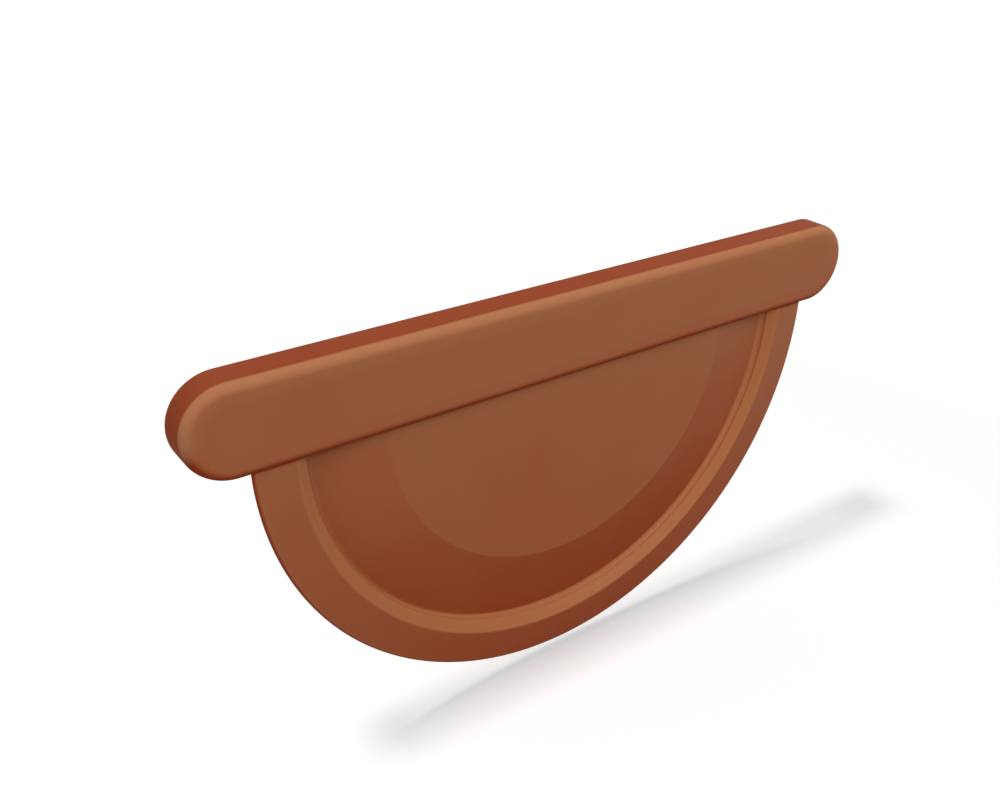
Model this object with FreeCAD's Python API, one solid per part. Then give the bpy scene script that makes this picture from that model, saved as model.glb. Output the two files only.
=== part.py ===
"""Gutter end cap: one pressed and painted steel sheet that closes the end of a half-round gutter.

A half-disc closes the bowl of the gutter. Its ring is pressed outwards, and the
gutter's cut end seats in the groove behind it. A bar along the top is pressed
outwards too and flanged back all round, so it takes the gutter's rolled bead.

Millimetres. +Z is up, +X runs along the bar, and -Y is the outer side.
The origin is on the gutter's axis, in the plane where its cut end seats.
"""
import FreeCAD, Part
import math
import os

from FreeCAD import Vector

# The gutter that the cap closes
GUTTER_INSIDE_DIAMETER = 125.0
GUTTER_SHEET = 0.6

# The cap's own sheet, and the inside radii of its bends
SHEET = 0.6
FOOT_BEND = 1.15
CREST_BEND = 0.4
BAR_BEND = 1.5

# Half-disc, inwards from the crest of its ring: each width, and how far the face falls back over it
RING_SLOPE_WIDTH = 2.2
RING_SLOPE_DEPTH = 1.52
STEP_WIDTH = 0.42
STEP_DEPTH = 1.25

# The dished band rises again from the foot of that step to the flat panel in the middle
BAND_WIDTH = 16.2
BAND_RISE = 1.82

# Half-disc, outwards from the crest to the rim, whose edge is turned back
RIM_WIDTH = 8.45
RIM_FALL = 0.5
RIM_LIP = 0.35

# Bar along the top
BAR_OVERHANG = 11.75
BAR_HEIGHT = 18.75
BAR_BOTTOM = 0.25
BAR_PROUD = 0.75
BAR_DEPTH = 7.25
BAR_FLARE = 0.17

# Places that follow from the sizes above
CREST_RADIUS = GUTTER_INSIDE_DIAMETER / 2 + GUTTER_SHEET / 2
CREST_Y = -SHEET
RIM_RADIUS = CREST_RADIUS + RIM_WIDTH
BAR_RADIUS = BAR_HEIGHT / 2
BAR_END = RIM_RADIUS + BAR_OVERHANG
BAR_MIDDLE = BAR_BOTTOM + BAR_RADIUS
BAR_FRONT = CREST_Y - BAR_PROUD
BAR_BACK = BAR_FRONT + BAR_DEPTH
FAR_BEHIND = BAR_BACK + BAR_DEPTH

ORIGIN = Vector(0, 0, 0)
ALONG_X = Vector(1, 0, 0)
ALONG_Y = Vector(0, 1, 0)
ALONG_Z = Vector(0, 0, 1)

# Bends with no inside radius: a crease is sharp on both faces, and a fold is round on its outside
CREASE = None
FOLD = 0


def disc_line():
    """Corners of the half-disc's outer face, in radius and depth from its middle, and its bends."""
    crest = Vector(CREST_RADIUS, CREST_Y)
    step_top = crest + Vector(-RING_SLOPE_WIDTH, RING_SLOPE_DEPTH)
    band_foot = step_top + Vector(-STEP_WIDTH, STEP_DEPTH)
    panel_edge = band_foot + Vector(-BAND_WIDTH, -BAND_RISE)
    middle = Vector(0, panel_edge.y)
    rim = crest + Vector(RIM_WIDTH, RIM_FALL)
    lip_end = rim + Vector(0, SHEET + RIM_LIP)
    corners = [middle, panel_edge, band_foot, step_top, crest, rim, lip_end]
    bends = [CREASE, FOOT_BEND, CREASE, CREST_BEND, FOLD]
    return corners, bends


def bar_line():
    """Corners of the bar's outer face, in distance from its middle line and depth, and its bend."""
    corners = [
        Vector(0, BAR_FRONT),
        Vector(BAR_RADIUS, BAR_FRONT),
        Vector(BAR_RADIUS + BAR_FLARE, BAR_BACK),
    ]
    return corners, [BAR_BEND]


def offset_corners(corners, depth):
    """Corners of the line that runs at a depth behind a face, parallel to each of its runs."""
    runs = [(b - a).normalize() for a, b in zip(corners, corners[1:])]
    sides = [Vector(-run.y, run.x) for run in runs]
    moved = [corners[0] + sides[0] * depth]
    for corner, before, after in zip(corners[1:], sides, sides[1:]):
        moved.append(corner + (before + after) * (depth / (1 + before.dot(after))))
    moved.append(corners[-1] + sides[-1] * depth)
    return moved


def turn_angle(before, corner, after):
    """Angle by which a line turns at a corner, over zero where it turns towards the inner face."""
    towards = corner - before
    away = after - corner
    return math.atan2(towards.cross(away).z, towards.dot(away))


def bend_arc(before, corner, after, radius):
    """Arc that rounds a corner by a radius, tangent to both runs."""
    towards = (corner - before).normalize()
    away = (after - corner).normalize()
    half_turn = turn_angle(before, corner, after) / 2
    tangent = radius * abs(math.tan(half_turn))
    sagitta = radius / math.cos(half_turn) - radius
    start = corner - towards * tangent
    middle = corner + (away - towards).normalize() * sagitta
    end = corner + away * tangent
    return Part.Arc(start, middle, end)


def straight_edges(*points):
    """Straight edges from point to point."""
    return [Part.LineSegment(a, b).toShape() for a, b in zip(points, points[1:])]


def sheet_line(line, depth):
    """Edges and end points of the line at a depth in the sheet: 0 is the outer face, SHEET the inner."""
    corners, bends = line
    moved = offset_corners(corners, depth)
    edges = []
    last = moved[0]
    for before, corner, after, bend in zip(moved, moved[1:], moved[2:], bends):
        inwards = turn_angle(before, corner, after) > 0
        radius = 0 if bend is CREASE else bend + (SHEET - depth if inwards else depth)
        if radius:
            arc = bend_arc(before, corner, after, radius)
            edges += straight_edges(last, arc.StartPoint) + [arc.toShape()]
            last = arc.EndPoint
        else:
            edges += straight_edges(last, corner)
            last = corner
    edges += straight_edges(last, moved[-1])
    return edges, moved[0], moved[-1]


def bar_inner_line():
    """Line of the bar's inner face, with a bevel one sheet behind the middle of the outer bend."""
    corners = bar_line()[0]
    middle, corner, wall_end = offset_corners(corners, SHEET)
    bevel = BAR_BEND * (2 - math.sqrt(2))
    floor_edge = corner + (middle - corner).normalize() * bevel
    wall_edge = corner + (wall_end - corner).normalize() * bevel
    return straight_edges(middle, floor_edge, wall_edge, wall_end), middle, wall_end


def section_face(edges):
    """Flat face inside a closed loop of edges."""
    return Part.Face(Part.Wire(Part.__sortEdges__(edges)))


def sheet_section(outer, inner):
    """Section of the sheet itself, between the lines of its two faces."""
    outer_edges, outer_start, outer_end = outer
    inner_edges, inner_start, inner_end = inner
    ends = straight_edges(outer_end, inner_end) + straight_edges(inner_start, outer_start)
    return section_face(outer_edges + inner_edges + ends)


def hollow_section(inner):
    """Section of the space behind the line of the sheet's inner face, run far back."""
    edges, start, end = inner
    far_end = Vector(end.x, FAR_BEHIND)
    far_start = Vector(start.x, FAR_BEHIND)
    return section_face(edges + straight_edges(end, far_end, far_start, start))


def half_disc(section):
    """Turn a section half round the gutter's axis, and carry both its ends up into the bar."""
    bowl = section.revolve(ORIGIN, ALONG_Y, 180)
    right = section.extrude(ALONG_Z * BAR_MIDDLE)
    left = right.mirror(ORIGIN, ALONG_X)
    return bowl.fuse([right, left]).removeSplitter()


def stadium(section):
    """Carry a section round the bar's outline: two straight runs and two half-round ends."""
    run = BAR_END - BAR_RADIUS
    upper = section.rotated(ORIGIN, ALONG_Y, -90)
    lower = section.rotated(ORIGIN, ALONG_Y, 90)
    right_end = upper.revolve(ORIGIN, ALONG_Y, 180).translated(ALONG_X * run)
    left_end = lower.revolve(ORIGIN, ALONG_Y, 180).translated(ALONG_X * -run)
    top = upper.translated(ALONG_X * -run).extrude(ALONG_X * (2 * run))
    bottom = lower.translated(ALONG_X * -run).extrude(ALONG_X * (2 * run))
    whole = top.fuse([right_end, bottom, left_end]).removeSplitter()
    return whole.translated(ALONG_Z * BAR_MIDDLE)


def make_end_cap():
    """One sheet: the half-disc and the bar, each cleared where the hollow behind the other runs on."""
    disc_outer = sheet_line(disc_line(), 0)
    disc_inner = sheet_line(disc_line(), SHEET)
    bar_outer = sheet_line(bar_line(), 0)
    bar_inner = bar_inner_line()

    disc = half_disc(sheet_section(disc_outer, disc_inner))
    bar = stadium(sheet_section(bar_outer, bar_inner))
    disc = disc.cut(stadium(hollow_section(bar_inner)))
    bar = bar.cut(half_disc(hollow_section(disc_inner)))
    return bar.fuse(disc).removeSplitter()


os.makedirs("parts", exist_ok=True)
make_end_cap().exportStep("parts/end_cap.step")
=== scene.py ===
"""Looks of the gutter end cap: the pressed sheet as one fine mesh, its paint, the studio and the camera.

The sheet is worked out in millimetres in the part's own frame and put into the mesh in metres:
+X runs along the bar, -Y is the outer side and +Z is up.
"""

import bpy
import numpy as np
from mathutils import Matrix, Vector


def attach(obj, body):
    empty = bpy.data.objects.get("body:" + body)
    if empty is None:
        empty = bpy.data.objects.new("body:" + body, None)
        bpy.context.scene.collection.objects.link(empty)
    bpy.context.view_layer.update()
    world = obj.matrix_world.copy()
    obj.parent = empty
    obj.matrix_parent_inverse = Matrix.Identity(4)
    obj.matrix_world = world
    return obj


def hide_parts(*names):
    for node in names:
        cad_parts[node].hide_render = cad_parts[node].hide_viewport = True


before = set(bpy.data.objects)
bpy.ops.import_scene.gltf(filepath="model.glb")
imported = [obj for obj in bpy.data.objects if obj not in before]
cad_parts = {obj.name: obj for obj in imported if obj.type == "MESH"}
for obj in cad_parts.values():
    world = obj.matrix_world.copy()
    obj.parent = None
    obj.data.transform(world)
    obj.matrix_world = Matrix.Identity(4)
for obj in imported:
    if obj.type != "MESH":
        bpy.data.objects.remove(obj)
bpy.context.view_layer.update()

MM = 0.001

# Sheet and its half-disc: each corner of the outer face as radius and depth
SHEET = 0.6
PANEL_EDGE = (43.98, 0.35)
BAND_FOOT = (60.18, 2.17)
STEP_TOP = (60.6, 0.92)
CREST = (62.8, -0.6)
RIM = (71.25, -0.1)
LIP_END = (71.25, 0.85)

# Outside radius of each bend of the half-disc, from the panel edge to the rim
PANEL_BEND = 3.5
FOOT_BEND = 1.15
STEP_BEND = 0.65
CREST_BEND = 1.0
RIM_ROLL = 0.85

# Bar along the top
BAR_END = 83.0
BAR_RADIUS = 9.375
BAR_MIDDLE = 9.625
BAR_FRONT = -1.35
BAR_BACK = 5.9
BAR_FLARE = 0.17
BAR_BEND = 2.1

# Concave fillet under the bar, the share of the room there that it may take, and the round of cut edges
JOIN_FILLET = 0.25
FILLET_ROOM = 0.75
EDGE_ROUND = 0.08

# Steps of the mesh: pieces of each bend, longest straight piece, and stations round the arcs
BEND_STEPS = 10
FILLET_STEPS = 4
LANDING_STEPS = 14
LONGEST_PIECE = 3.0
NEAR_BEND = 0.22
HALF_CIRCLE_STEPS = 216
BAR_END_STEPS = 56
OVERHANG_STEPS = 2
SHARP_ANGLE = np.radians(55)

# Points nearer than this are one, and the mean normal has this weight beside those of single faces
SAME_POINT = 1e-5
MEAN_WEIGHT = 0.02

# Factors that mirror a point to the other side of the upright middle plane
MIRRORED = (-1, 1, 1)

# Paint: its own colour over the face, painted shade, painted highlight, and painted light on the ring
PAINT = (0.266, 0.088, 0.0355)
SHADE_PAINT = (0.241, 0.0355, 0.0085)
HIGHLIGHT_PAINT = (0.325, 0.132, 0.060)
RING_LIGHT_PAINT = (0.306, 0.1045, 0.0385)

# Painted shade: how dark it grows at the foot of the panel and the rim, and what the dish adds all over and
# there
LOW_PANEL = 0.38
LOW_RIM = 0.67
DISH = 0.1
LOW_DISH = 0.55

# Painted shade on the bar's wall and along the ring's crease, and the share of that at the left
WALL = 0.92
CREASE = 0.75
FAINT_CREASE = 0.15

# Painted highlight over outward bends: full from the tight radius down, and none from the easy one up
BEND_HIGHLIGHT = 0.3
TIGHT_BEND = 1.5
EASY_BEND = 3.0

# Heights at which a tone sets in and is full
ON_BAR = (0.0, 0.2)
ABOVE_JOIN = (1.0, 2.0)
BELOW_BAR = (1.0, 0.5)

# Depths at which a tone sets in and is full: just behind the bar's front, and past the middle of its bend
BEHIND_FRONT = (BAR_FRONT + 0.3, BAR_FRONT + 0.6)
WALL_START = BAR_FRONT + 0.57 * BAR_BEND
BAR_WALL = (WALL_START, WALL_START + 0.3)

# Distances from the bar's middle line, the power of the fade there, and the share of the way straight down
BAR_FADE = (6.0, 9.0)
BAR_FADE_POWER = 1.3
UNDER_BAR = (6.5, 8.4)
UNDER_TURN = (0.0, 1 / 2.3)

# Radii at which a tone of the half-disc sets in and is full
DISH_BORDER = (PANEL_EDGE[0] - 0.175, PANEL_EDGE[0] + 0.175)
DISH_END = (STEP_TOP[0], STEP_TOP[0] - 0.3)
OUTSIDE_RING = (CREST[0], CREST[0] + 0.5)
RING_BORDER = (CREST[0] + 0.25, CREST[0] - 0.15)
RIM_EDGE = (RIM[0] - RIM_ROLL, RIM[0] - 0.2 * RIM_ROLL)

# Painted light on the ring: how far it reaches into the dish, growing over this stretch of X, and its soft
# border
RING_REACH = 1.15
RING_REACH_GROWS = (-60.0, 0.0)
RING_SOFT = 0.4

# Painted dark line along the crease: distances from its radius at which it sets in and is full, and the
# stretch of X over which it grows
CREASE_LINE = (0.169, 0.039)
CREASE_GROWS = (-20.0, 50.0)

# Finish: roughness of the smooth paint and where shade or highlight is painted, slow drift of tone, and
# orange peel
SATIN = 0.4
MATT = 0.85
NOISE_RANGE = (0.3, 0.7)
DRIFT_WAVES = 45.0
DRIFT = 0.06
PEEL_WAVES = 1600.0
PEEL_HEIGHT = 0.00002
PEEL_STRENGTH = 0.25

# Studio lamps: azimuth and elevation in degrees, distance, width and height in metres, and brightness
OBJECT_LAMPS = {
    "key_lamp": (13, 43, 0.6, 0.45, 0.65, 0.975),
    "left_front_lamp": (-30, 42, 0.8, 0.4, 0.4, 0.2),
    "left_lamp": (-75, 12, 1.2, 0.5, 0.5, 0.27),
    "top_lamp": (-60, 78, 0.7, 0.4, 0.4, 0.18),
    "right_lamp": (115, 10, 1.2, 0.5, 0.4, 0.35),
    "back_lamp": (178, 5, 1.2, 0.6, 0.3, 0.65),
}
FLOOR_LAMP = (-98, 68, 2.5, 0.36, 0.3, 0.63)
LAMP_AIM = Vector((0.0, 0.0, -0.02))
WORLD_LIGHT = 0.25

# Floor in metres: its tone when seen and for the light it throws back, and its own white near and far
FLOOR_Z = -0.0735
FLOOR_COLOUR = 0.68
FLOOR_BOUNCE = 0.3
NEAR_WHITE = 0.492
NEAR_RADIUS = 0.2
FAR_RADIUS = 0.6
FLAT_RADIUS = 0.3
SWEEP_RADIUS = 2.2
SWEEP_CURVE = 0.4
SWEEP_HEIGHT = 1.4
CURVE_STEPS = 12
ROUND_STEPS = 96


def straight_run(start, end):
    """Points after start up to end: one close to each end, and even pieces of at most LONGEST_PIECE."""
    length = np.linalg.norm(end - start)
    if length < 4 * NEAR_BEND:
        shares = np.array([1.0])
    else:
        near = NEAR_BEND / length
        pieces = int(np.ceil((length - 2 * NEAR_BEND) / LONGEST_PIECE))
        shares = np.append(np.linspace(near, 1 - near, pieces + 1), 1.0)
    return start + shares[:, None] * (end - start)


def rounded_line(corners, radii, steps):
    """Line through corners with each inner corner rounded: straight runs, and arcs tangent to both runs."""
    corners = [np.array(corner, float) for corner in corners]
    points = [corners[0][None]]
    last = corners[0]
    for before, corner, after, radius in zip(corners, corners[1:], corners[2:], radii):
        towards = (corner - before) / np.linalg.norm(corner - before)
        away = (after - corner) / np.linalg.norm(after - corner)
        turn = np.arctan2(towards[0] * away[1] - towards[1] * away[0], towards @ away)
        tangent = radius * np.tan(abs(turn) / 2)
        side = np.sign(turn) * np.array([-towards[1], towards[0]])
        centre = corner - towards * tangent + side * radius
        angles = np.linspace(0, abs(turn), steps + 1)[:, None]
        arc = centre + radius * (towards * np.sin(angles) - side * np.cos(angles))
        points += [straight_run(last, arc[0]), arc[1:]]
        last = arc[-1]
    points.append(straight_run(last, corners[-1]))
    return np.concatenate(points)


def disc_section():
    """Outer face of the half-disc as radius and depth, from its middle to the end of the rim's lip."""
    lip_end = (LIP_END[0], LIP_END[1] - EDGE_ROUND)
    corners = [(0, PANEL_EDGE[1]), PANEL_EDGE, BAND_FOOT, STEP_TOP, CREST, RIM, lip_end]
    radii = [PANEL_BEND, FOOT_BEND, STEP_BEND, CREST_BEND, RIM_ROLL]
    return rounded_line(corners, radii, BEND_STEPS)


def bar_wall(y):
    """Distance of the bar's straight wall from the middle line at a depth: it leans out by the flare."""
    return BAR_RADIUS + BAR_FLARE * (y - BAR_FRONT) / (BAR_BACK - BAR_FRONT)


def bar_arc_centre():
    """Centre of the bend that touches the bar's front and wall: distance from the middle line, and depth."""
    lean = BAR_FLARE / (BAR_BACK - BAR_FRONT)
    depth = BAR_FRONT + BAR_BEND
    return bar_wall(depth) - BAR_BEND * np.hypot(1, lean), depth


def bar_edge(lengths):
    """Points on the bar's edge at lengths along it: first round the bend, then straight down the wall."""
    lean = np.arctan(BAR_FLARE / (BAR_BACK - BAR_FRONT))
    centre_d, centre_y = bar_arc_centre()
    bend_end = np.pi / 2 - lean
    angle = np.minimum(lengths / BAR_BEND, bend_end)
    beyond = np.maximum(lengths - bend_end * BAR_BEND, 0)
    d = centre_d + BAR_BEND * np.sin(angle) + beyond * np.sin(lean)
    y = centre_y - BAR_BEND * np.cos(angle) + beyond * np.cos(lean)
    return d, y


def landing(face_y):
    """Where the face at each depth runs into the bar: a small arc tangent to the face and the bar's edge.

    Gives the arc's radius, its middle as distance from the middle line and depth, and the length along
    the bar's edge at which it touches. It touches the bend where it can, and else the straight wall.
    """
    lean = np.arctan(BAR_FLARE / (BAR_BACK - BAR_FRONT))
    centre_d, centre_y = bar_arc_centre()
    bend_end = np.pi / 2 - lean
    radius = np.minimum(JOIN_FILLET, FILLET_ROOM * (BAR_MIDDLE - bar_wall(face_y)))
    middle_y = face_y - radius
    rise = np.clip(centre_y - middle_y, -BAR_BEND, None)
    on_bend_d = centre_d + np.sqrt(np.maximum((BAR_BEND + radius) ** 2 - rise ** 2, 0))
    angle = np.arctan2(on_bend_d - centre_d, rise)
    on_wall_d = bar_wall(middle_y) + radius / np.cos(lean)
    touch_y = middle_y + radius * np.sin(lean)
    wall_length = bend_end * BAR_BEND + (touch_y - bar_edge(bend_end * BAR_BEND)[1]) / np.cos(lean)
    on_bend = angle < bend_end
    middle_d = np.where(on_bend, on_bend_d, on_wall_d)
    touch = np.where(on_bend, angle * BAR_BEND, wall_length)
    return radius, middle_d, middle_y, touch


def rise_into_bar(section):
    """Rows of the sheet above the half-disc, one column per point of the section that meets the bar.

    Each column goes straight up from the half-disc, round the fillet on to the bar's edge, along that
    edge to the bar's front, and up the front to its middle line. Gives height and depth of every row.
    """
    face_y = section[:, 1]
    radius, middle_d, middle_y, touch = landing(face_y)
    touch_d, touch_y = bar_edge(touch)
    end_angle = np.arctan2(middle_d - touch_d, touch_y - middle_y)
    share = np.linspace(0, 1, FILLET_STEPS + 1)[:, None]
    angle = share * end_angle
    fillet_d = middle_d - radius * np.sin(angle)
    fillet_y = middle_y + radius * np.cos(angle)
    share = np.linspace(1, 0, LANDING_STEPS + 1)[1:, None]
    edge_d, edge_y = bar_edge(share * touch)
    front_d = bar_front_rows()[:, None] + 0 * face_y
    front_y = np.full_like(front_d, BAR_FRONT)
    heights = BAR_MIDDLE - np.concatenate([fillet_d, edge_d, front_d])
    depths = np.concatenate([fillet_y, edge_y, front_y])
    return heights, depths


def bar_front_rows():
    """Distances from the middle line of the rows on the bar's flat front, from its bend to the middle."""
    start = np.array([bar_arc_centre()[0], 0.0])
    return straight_run(start, np.array([0.0, 0.0]))[:, 0]


def lip_wall(section, lip_start):
    """Rows in which the lip's flat side meets the bar's wall, as distance from the middle line and depth.

    They go along the wall in even steps, from the lip's end to the point where the fillet touches.
    """
    touch = landing(section[lip_start:lip_start + 1, 1])[3][0]
    length = section[-1, 1] - bar_edge(touch)[1]
    return bar_edge(touch + np.linspace(1, 0, FILLET_STEPS + 1) * length)


def disc_grid(section, lip_start, fillet_heights, fillet_depths, wall_d, wall_y):
    """The half-disc: its section carried up each straight side to the bar, and round the half circle below.

    Below, x and z are the radius times cosine and sine. Above, each column ends on its fillet, and the
    lip's columns lie between the last of these and the rows on the bar's wall, by their share of its depth.
    """
    lip_top = section[lip_start, 1]
    lip_share = (section[lip_start + 1:, 1] - lip_top) / (section[-1, 1] - lip_top)
    last_height = fillet_heights[:, -1:]
    last_depth = fillet_depths[:, -1:]
    lip_heights = last_height + lip_share * (BAR_MIDDLE - wall_d[:, None] - last_height)
    lip_depths = last_depth + lip_share * (wall_y[:, None] - last_depth)
    heights = np.concatenate([fillet_heights, lip_heights], 1)
    depths = np.concatenate([fillet_depths, lip_depths], 1)
    radius = section[:, 0]
    right = np.stack([radius + 0 * heights, depths, heights], -1)
    left = right * MIRRORED
    angles = np.linspace(np.pi, 2 * np.pi, HALF_CIRCLE_STEPS + 1)[:, None]
    round_part = np.stack([
        radius * np.cos(angles),
        section[:, 1] + 0 * angles,
        radius * np.sin(angles),
    ], -1)
    return np.concatenate([left[::-1], round_part, right])


def bar_stations(columns):
    """Places round the bar at which its section stands: x, and the turn from straight down in radians.

    They start on the lower edge at the half-disc's last column, go out to the right end and round it,
    come back over the top on the half-disc's columns, and go on to the left in mirror image.
    """
    run = BAR_END - BAR_RADIUS
    overhang = np.linspace(columns[-1], run, OVERHANG_STEPS + 1)
    end_turn = np.linspace(0, np.pi, BAR_END_STEPS + 1)[1:-1]
    along_top = np.concatenate([overhang[::-1], columns[-2:0:-1], [0.0]])
    half_x = np.concatenate([overhang, run + 0 * end_turn, along_top])
    half_turn = np.concatenate([0 * overhang, end_turn, np.pi + 0 * along_top])
    x = np.concatenate([half_x, -half_x[-2::-1]])
    turn = np.concatenate([half_turn, 2 * np.pi - half_turn[-2::-1]])
    return x[:, None], turn[:, None]


def bar_grid(columns, bar_d, bar_y):
    """The bar: its section, as distance from the middle line and depth, carried round its outline.

    x is the station's x plus the distance times the sine of its turn, and z is the height of the middle
    line less the distance times the cosine.
    """
    x, turn = bar_stations(columns)
    return np.stack([
        x + bar_d * np.sin(turn),
        bar_y + 0 * x,
        BAR_MIDDLE - bar_d * np.cos(turn),
    ], -1)


def sheet_grids():
    """The outer face as grids of points that share their borders: the half-disc, both fronts and the bar."""
    section = disc_section()
    lip_start = int(np.argmax(section[:, 0] > LIP_END[0] - SAME_POINT))
    heights, depths = rise_into_bar(section[:lip_start + 1])
    wall_d, wall_y = lip_wall(section, lip_start)
    fillet = slice(0, FILLET_STEPS + 1)
    disc = disc_grid(section, lip_start, heights[fillet], depths[fillet], wall_d, wall_y)

    # Fronts: the same columns, carried on from the fillet's end over the bar's edge to its middle line
    upper = slice(FILLET_STEPS, None)
    columns = section[:lip_start + 1, 0]
    front_right = np.stack([columns + 0 * heights[upper], depths[upper], heights[upper]], -1)
    front_left = (front_right * MIRRORED)[:, ::-1]

    # Bar: its section is the last column of the front, then the wall down to the back edge
    back_run = straight_run(np.array([wall_y[0], 0.0]), np.array([BAR_BACK - EDGE_ROUND, 0.0]))[:, 0]
    bar_d = np.concatenate([BAR_MIDDLE - heights[upper, -1][::-1], wall_d[-2::-1], bar_wall(back_run)])
    bar_y = np.concatenate([depths[upper, -1][::-1], wall_y[-2::-1], back_run])
    return [disc, front_right, front_left, bar_grid(columns, bar_d, bar_y)]


def welded_points(points, quads, near):
    """Points with those that coincide within a distance made one, and the quads on them."""
    keys = np.round(points / near).astype(np.int64)
    kept, place = np.unique(keys, axis=0, return_index=True, return_inverse=True)[1:]
    return points[kept], place.reshape(-1)[quads]


def welded(grids):
    """Points and quads of grids, with points that coincide made one."""
    points = np.concatenate([grid.reshape(-1, 3) for grid in grids])
    quads = []
    first = 0
    for grid in grids:
        index = first + np.arange(grid.shape[0] * grid.shape[1]).reshape(grid.shape[:2])
        quad = [index[:-1, :-1], index[:-1, 1:], index[1:, 1:], index[1:, :-1]]
        quads.append(np.stack(quad, -1).reshape(-1, 4))
        first += index.size
    return welded_points(points, np.concatenate(quads), SAME_POINT)


def face_corners(quads):
    """Quads that have four corners, and triangles from those that lost one. What has no area is left out."""
    doubled = quads == np.roll(quads, 1, axis=1)
    whole = quads[~doubled.any(1)]
    once = doubled.sum(1) == 1
    triangles = quads[once][~doubled[once]].reshape(-1, 3)
    return whole, triangles


def face_normals(points, faces):
    """Unit normal of each face, from the cross product of its two diagonals or sides."""
    corners = points[faces]
    normals = np.cross(corners[:, 2] - corners[:, 0], corners[:, -1] - corners[:, 1])
    return normals / np.linalg.norm(normals, axis=1, keepdims=True)


def corner_sums(values, faces, count):
    """Sum at each point of the values of the faces round it."""
    sums = np.zeros((count,) + values.shape[1:])
    for corner in range(faces.shape[1]):
        np.add.at(sums, faces[:, corner], values)
    return sums


def through_sheet(points, whole, triangles):
    """Vector at each point from the outer face to the inner one.

    It reaches one sheet behind every face round the point, in the sense of least squares, so that
    the sheet keeps its thickness at a corner too. Across a smooth face it is the plain normal.
    """
    count = len(points)
    towards = np.zeros((count, 3))
    spread = np.zeros((count, 3, 3))
    for faces in (whole, triangles):
        normals = face_normals(points, faces)
        towards += corner_sums(normals, faces, count)
        spread += corner_sums(normals[:, :, None] * normals[:, None, :], faces, count)
    mean = towards / np.linalg.norm(towards, axis=1, keepdims=True)
    spread += MEAN_WEIGHT * np.eye(3)
    towards += MEAN_WEIGHT * mean
    vectors = np.linalg.solve(spread, towards[:, :, None])[:, :, 0]
    return -SHEET * vectors


def border(points, whole, triangles):
    """Edges that one face only has, in that face's order, and the way out of the sheet at their ends."""
    starts = np.concatenate([faces.ravel() for faces in (whole, triangles)])
    ends = np.concatenate([np.roll(faces, -1, 1).ravel() for faces in (whole, triangles)])
    normals = np.concatenate([
        np.repeat(face_normals(points, faces), faces.shape[1], 0) for faces in (whole, triangles)
    ])
    size = len(points)
    lone = ~np.isin(starts * size + ends, ends * size + starts)
    starts, ends, normals = starts[lone], ends[lone], normals[lone]
    along = points[ends] - points[starts]
    outward = np.cross(along, normals)
    outward /= np.linalg.norm(outward, axis=1, keepdims=True)
    sums = np.zeros((size, 3))
    np.add.at(sums, starts, outward)
    np.add.at(sums, ends, outward)
    places = np.unique(starts)
    way_out = sums[places] / np.linalg.norm(sums[places], axis=1, keepdims=True)
    return places, way_out, np.searchsorted(places, starts), np.searchsorted(places, ends)


def closed_sheet():
    """The whole sheet: outer face, inner face behind it, and the cut edge between, both corners broken."""
    points, quads = welded(sheet_grids())
    whole, triangles = face_corners(quads)
    through = through_sheet(points, whole, triangles)
    places, way_out, starts, ends = border(points, whole, triangles)
    depth = through[places] / np.linalg.norm(through[places], axis=1, keepdims=True)
    outer_corner = points[places] + EDGE_ROUND * (way_out + depth)
    inner_corner = points[places] + through[places] + EDGE_ROUND * (way_out - depth)
    everything = np.concatenate([points, points + through, outer_corner, inner_corner])
    size = len(points)
    first_corner = 2 * size + np.arange(len(places))
    rows = [places, first_corner, first_corner + len(places), size + places]
    cut_edge = [
        np.stack([above[ends], above[starts], below[starts], below[ends]], -1)
        for above, below in zip(rows, rows[1:])
    ]
    fours = np.concatenate([whole, size + whole[:, ::-1]] + cut_edge)
    threes = np.concatenate([triangles, size + triangles[:, ::-1]])
    return everything, fours, threes


def grow(value, start, end):
    """Share that grows evenly from 0 at start to 1 at end, and is held beyond both."""
    return np.clip((value - start) / (end - start), 0, 1)


def bend_share(points, faces_by_size):
    """How tightly each point bends outwards, from 0 at EASY_BEND or flatter to 1 at TIGHT_BEND or tighter.

    Along each edge the normal turns by some angle over the edge's length, which is one over the radius
    there. The tightest outward bend of the edges round a point counts.
    """
    count = len(points)
    normals = np.zeros((count, 3))
    for faces in faces_by_size:
        normals += corner_sums(face_normals(points, faces), faces, count)
    normals /= np.linalg.norm(normals, axis=1, keepdims=True)
    starts = np.concatenate([faces.ravel() for faces in faces_by_size])
    ends = np.concatenate([np.roll(faces, -1, 1).ravel() for faces in faces_by_size])
    along = points[ends] - points[starts]
    turning = ((normals[ends] - normals[starts]) * along).sum(1) / (along ** 2).sum(1)
    tightest = np.zeros(count)
    np.maximum.at(tightest, starts, turning)
    np.maximum.at(tightest, ends, turning)
    return grow(tightest, 1 / EASY_BEND, 1 / TIGHT_BEND)


def axis_distance(points):
    """Distance of each point from the gutter's axis, and from its upright middle plane above the axis."""
    return np.hypot(points[:, 0], np.minimum(points[:, 2], 0))


def ring_share(points):
    """1 on the step and slope of the raised ring, and 0 away from them. At the left it ends at the step."""
    x, y, z = points.T
    radius = axis_distance(points)
    inner_start = BAND_FOOT[0] - RING_REACH * grow(x, *RING_REACH_GROWS)
    inner = grow(radius, inner_start, inner_start + RING_SOFT)
    return inner * grow(radius, *RING_BORDER) * grow(z, *BELOW_BAR) * grow(y, *BEHIND_FRONT)


def bar_distance(points):
    """Distance of each point from the bar's middle line, seen from the front, and its height over it."""
    rise = points[:, 2] - BAR_MIDDLE
    beyond_run = np.maximum(np.abs(points[:, 0]) - (BAR_END - BAR_RADIUS), 0)
    return np.hypot(beyond_run, rise), rise


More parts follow.
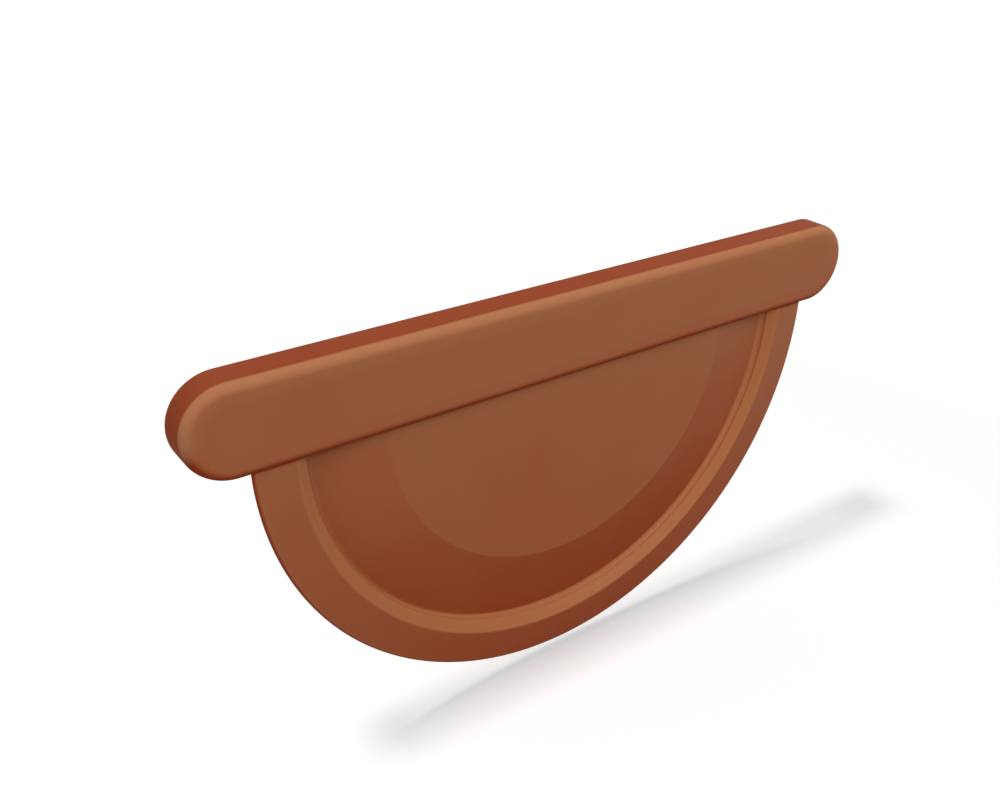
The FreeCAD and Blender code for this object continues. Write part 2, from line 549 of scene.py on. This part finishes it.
def painted_shade(points):
    """Share of painted shade at each point, from 0 on the face to 1 where it is darkest.

    It grows downwards over the half-disc, most in the dish, and sets in half-way round the bar's bend,
    from where the wall goes back. It is full along the lower bend of the bar and the edge of the rim,
    and lies in a fine dark line along the crease of the ring, fainter to the left.
    """
    x, y, z = points.T
    on_bar = grow(z, *ON_BAR)
    low = grow(z, 0, -RIM[0])
    radius = axis_distance(points)
    in_dish = grow(radius, *DISH_BORDER) * grow(radius, *DISH_END)
    outside = grow(radius, *OUTSIDE_RING)
    half_disc = (LOW_PANEL + (LOW_RIM - LOW_PANEL) * outside) * low + (DISH + LOW_DISH * low) * in_dish
    half_disc *= (1 - ring_share(points)) * (1 - on_bar)
    crease = CREASE * (1 - on_bar) * grow(np.abs(radius - STEP_TOP[0]), *CREASE_LINE)
    crease *= FAINT_CREASE + (1 - FAINT_CREASE) * grow(x, *CREASE_GROWS)
    wall = WALL * on_bar * grow(y, *BAR_WALL)
    out, rise = bar_distance(points)
    under = on_bar * grow(out, *UNDER_BAR) * grow(-rise / np.maximum(out, 1.0), *UNDER_TURN)
    rim = (1 - on_bar) * grow(radius, *RIM_EDGE)
    return np.clip(np.maximum.reduce([half_disc, crease, wall, under, rim]), 0, 1)


def painted_highlight(points, faces_by_size, run):
    """Share of painted highlight at each point: over the outward bends, and along the bend of the bar.

    On the bar it grows from the front's border to half-way round the bend. Where shade is painted there is
    no painted highlight.
    """
    above = grow(points[:, 2], *ABOVE_JOIN)
    round_bar = above * grow(bar_distance(points)[0], *BAR_FADE) ** BAR_FADE_POWER
    bends = BEND_HIGHLIGHT * bend_share(points, faces_by_size) * (1 - above)
    return np.maximum(bends, round_bar) * (1 - run)


def sheet_mesh(name, points, fours, threes):
    """Mesh of points and of faces with four and three corners, smooth, with its shares of painted shade,
    highlight and light as attributes.
    """
    mesh = bpy.data.meshes.new(name)
    corners = np.concatenate([fours.ravel(), threes.ravel()])
    starts = np.concatenate([4 * np.arange(len(fours)), 4 * len(fours) + 3 * np.arange(len(threes))])
    mesh.vertices.add(len(points))
    mesh.vertices.foreach_set("co", (points * MM).ravel())
    mesh.loops.add(len(corners))
    mesh.loops.foreach_set("vertex_index", corners)
    mesh.polygons.add(len(starts))
    mesh.polygons.foreach_set("loop_start", starts)
    mesh.update(calc_edges=True)
    mesh.validate()
    mesh.shade_smooth()
    mesh.set_sharp_from_angle(angle=SHARP_ANGLE)
    # Attributes: the share of painted shade, of painted highlight over the bends, and of painted light on
    # the ring's slope
    run = painted_shade(points)
    shares = {
        "run": run,
        "highlight": painted_highlight(points, [fours, threes], run),
        "ring": ring_share(points) * (1 - run),
    }
    for share, values in shares.items():
        mesh.attributes.new(share, "FLOAT", "POINT").data.foreach_set("value", values)
    return mesh


def ramp(tree, value, low, high, to_low=0.0, to_high=1.0):
    """Map Range node that takes a value from one range to another and holds it at both ends."""
    node = tree.nodes.new("ShaderNodeMapRange")
    node.inputs["From Min"].default_value = low
    node.inputs["From Max"].default_value = high
    node.inputs["To Min"].default_value = to_low
    node.inputs["To Max"].default_value = to_high
    tree.links.new(value, node.inputs["Value"])
    return node.outputs["Result"]


def combine(tree, operation, first, second):
    """Math node on two values, each a socket or a number."""
    node = tree.nodes.new("ShaderNodeMath")
    node.operation = operation
    for socket, value in zip(node.inputs, (first, second)):
        if isinstance(value, (int, float)):
            socket.default_value = value
        else:
            tree.links.new(value, socket)
    return node.outputs[0]


def tint(tree, share, first, second):
    """Colour mixed from a first to a second, each a socket or a colour, by a share."""
    node = tree.nodes.new("ShaderNodeMix")
    node.data_type = "RGBA"
    tree.links.new(share, node.inputs[0])
    for socket, colour in zip((node.inputs[6], node.inputs[7]), (first, second)):
        if isinstance(colour, tuple):
            socket.default_value = colour + (1.0,)
        else:
            tree.links.new(colour, socket)
    return node.outputs[2]


def noise(tree, place, scale, detail):
    """Noise pattern on a place, with so many waves in a metre."""
    node = tree.nodes.new("ShaderNodeTexNoise")
    node.inputs["Scale"].default_value = scale
    node.inputs["Detail"].default_value = detail
    tree.links.new(place, node.inputs["Vector"])
    return node.outputs["Fac"]


def share_on_sheet(tree, name):
    """Value of an attribute of the sheet's points."""
    node = tree.nodes.new("ShaderNodeAttribute")
    node.attribute_name = name
    return node.outputs["Fac"]


def paint_material():
    """Satin copper-brown paint.

    Painted shade makes it deeper and redder, painted light makes it warmer on the ring, and painted
    highlight makes it lighter over the bends.
    Fine orange peel, and slow drifts of tone and gloss over the sheet.
    """
    material = bpy.data.materials.new("satin_copper_paint")
    material.use_nodes = True
    tree = material.node_tree
    links = tree.links
    shader = tree.nodes["Principled BSDF"]
    place = tree.nodes.new("ShaderNodeTexCoord").outputs["Object"]
    # A slow random drift of tone is added to the share of painted shade; then painted light on the ring and
    # painted highlight over the bends
    drift = ramp(tree, noise(tree, place, DRIFT_WAVES, detail=3.0), *NOISE_RANGE, -DRIFT, DRIFT)
    run = combine(tree, "ADD", share_on_sheet(tree, "run"), drift)
    colour = tint(tree, run, PAINT, SHADE_PAINT)
    colour = tint(tree, share_on_sheet(tree, "ring"), colour, RING_LIGHT_PAINT)
    highlight = share_on_sheet(tree, "highlight")
    colour = tint(tree, highlight, colour, HIGHLIGHT_PAINT)
    links.new(colour, shader.inputs["Base Color"])
    matt = combine(tree, "MAXIMUM", run, highlight)
    links.new(ramp(tree, matt, 0.0, 1.0, SATIN, MATT), shader.inputs["Roughness"])
    shader.inputs["IOR"].default_value = 1.45
    shader.inputs["Specular IOR Level"].default_value = 0.1

    bump = tree.nodes.new("ShaderNodeBump")
    bump.inputs["Strength"].default_value = PEEL_STRENGTH
    bump.inputs["Distance"].default_value = PEEL_HEIGHT
    links.new(noise(tree, place, PEEL_WAVES, detail=2.0), bump.inputs["Height"])
    links.new(bump.outputs["Normal"], shader.inputs["Normal"])
    return material


def soft_lamp(name, lights, azimuth, elevation, distance, width, height, brightness):
    """Soft lamp that looks at the object from an azimuth and elevation in degrees.

    Azimuth 0 is in front and grows to the right. Brightness is that of a white face turned to the lamp,
    and only what is in the collection of lights takes its light.
    """
    data = bpy.data.lights.new(name, "AREA")
    data.energy = brightness * (np.pi * distance) ** 2
    data.shape = "RECTANGLE"
    data.size = width
    data.size_y = height
    lamp = bpy.data.objects.new(name, data)
    a, e = np.radians([azimuth, elevation])
    away = Vector((np.sin(a) * np.cos(e), -np.cos(a) * np.cos(e), np.sin(e)))
    lamp.location = LAMP_AIM + away * distance
    lamp.rotation_euler = away.to_track_quat("Z", "Y").to_euler()
    lamp.light_linking.receiver_collection = lights
    bpy.context.collection.objects.link(lamp)


def dim_world(strength):
    """World with an even pale light from all round."""
    world = bpy.data.worlds.new("studio")
    world.use_nodes = True
    background = world.node_tree.nodes["Background"]
    background.inputs["Color"].default_value = (1.0, 1.0, 1.0, 1.0)
    background.inputs["Strength"].default_value = strength
    bpy.context.scene.world = world


def sweep_mesh(z):
    """Floor that curves up into a wall all round: a section of radius and height, turned full circle."""
    turn = np.linspace(0, np.pi / 2, CURVE_STEPS + 1)
    wall_radius = SWEEP_RADIUS + SWEEP_CURVE
    radius = np.concatenate([[0.0, FLAT_RADIUS], SWEEP_RADIUS + SWEEP_CURVE * np.sin(turn), [wall_radius]])
    height = np.concatenate([[0.0, 0.0], SWEEP_CURVE * (1 - np.cos(turn)), [SWEEP_HEIGHT]]) + z
    angle = np.linspace(0, 2 * np.pi, ROUND_STEPS, endpoint=False)[:, None]
    grid = np.stack([radius * np.cos(angle), radius * np.sin(angle), height + 0 * angle], -1)
    index = np.arange(grid.shape[0] * grid.shape[1]).reshape(grid.shape[:2])
    after = np.roll(index, -1, axis=0)
    quads = np.stack([index[:, :-1], index[:, 1:], after[:, 1:], after[:, :-1]], -1).reshape(-1, 4)
    points, quads = welded_points(grid.reshape(-1, 3), quads, SAME_POINT)
    whole, triangles = face_corners(quads)
    mesh = bpy.data.meshes.new("floor")
    mesh.from_pydata(points.tolist(), [], whole.tolist() + triangles.tolist())
    mesh.shade_smooth()
    return mesh


def white_floor(z):
    """Pale floor, white where it is seen or mirrored. Near the object its own tone keeps the shadow."""
    mesh = sweep_mesh(z)
    floor = bpy.data.objects.new("floor", mesh)
    bpy.context.collection.objects.link(floor)
    material = bpy.data.materials.new("floor_white")
    material.use_nodes = True
    tree = material.node_tree
    shader = tree.nodes["Principled BSDF"]
    shader.inputs["Roughness"].default_value = 1.0
    shader.inputs["Specular IOR Level"].default_value = 0.0
    shader.inputs["Emission Color"].default_value = (1.0, 1.0, 1.0, 1.0)
    path = tree.nodes.new("ShaderNodeLightPath")
    seen = combine(tree, "MAXIMUM", path.outputs["Is Camera Ray"], path.outputs["Is Glossy Ray"])
    seen = combine(tree, "MAXIMUM", seen, path.outputs["Is Transmission Ray"])
    place = tree.nodes.new("ShaderNodeTexCoord").outputs["Object"]
    distance = tree.nodes.new("ShaderNodeVectorMath")
    distance.operation = "LENGTH"
    tree.links.new(place, distance.inputs[0])
    white = ramp(tree, distance.outputs["Value"], NEAR_RADIUS, FAR_RADIUS, NEAR_WHITE, 1.0)
    tree.links.new(combine(tree, "MULTIPLY", seen, white), shader.inputs["Emission Strength"])
    tree.links.new(ramp(tree, seen, 0.0, 1.0, FLOOR_BOUNCE, FLOOR_COLOUR), shader.inputs["Base Color"])
    mesh.materials.append(material)
    return floor


def photo_camera():
    """Camera at the photograph's place: its right, up and back directions, its lens and its shift."""
    data = bpy.data.cameras.new("camera")
    data.sensor_width = 36.0
    data.lens = 35.7156
    data.shift_x = -0.00119
    data.shift_y = 0.02372
    data.clip_start = 0.005
    data.clip_end = 20
    camera = bpy.data.objects.new("camera", data)
    right = Vector((0.82293, -0.56813, 0.0))
    up = Vector((0.27379, 0.39659, 0.87621))
    back = Vector((-0.49781, -0.72107, 0.48192))
    turn = Matrix((right, up, back)).transposed().to_4x4()
    place = Vector((-0.119436, -0.146574, 0.091789))
    camera.matrix_world = Matrix.Translation(place) @ turn
    bpy.context.collection.objects.link(camera)
    bpy.context.scene.camera = camera


sheet = bpy.data.objects.new("pressed_sheet", sheet_mesh("pressed_sheet", *closed_sheet()))
bpy.context.collection.objects.link(sheet)
sheet.data.materials.append(paint_material())
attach(sheet, "root")
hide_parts("end_cap")

floor = white_floor(FLOOR_Z)
on_object = bpy.data.collections.new("lit_object")
on_object.objects.link(sheet)
on_floor = bpy.data.collections.new("lit_floor")
on_floor.objects.link(floor)
dim_world(WORLD_LIGHT)
for name, setting in OBJECT_LAMPS.items():
    soft_lamp(name, on_object, *setting)
soft_lamp("floor_lamp", on_floor, *FLOOR_LAMP)
photo_camera()

bpy.context.scene.view_settings.view_transform = "Standard"
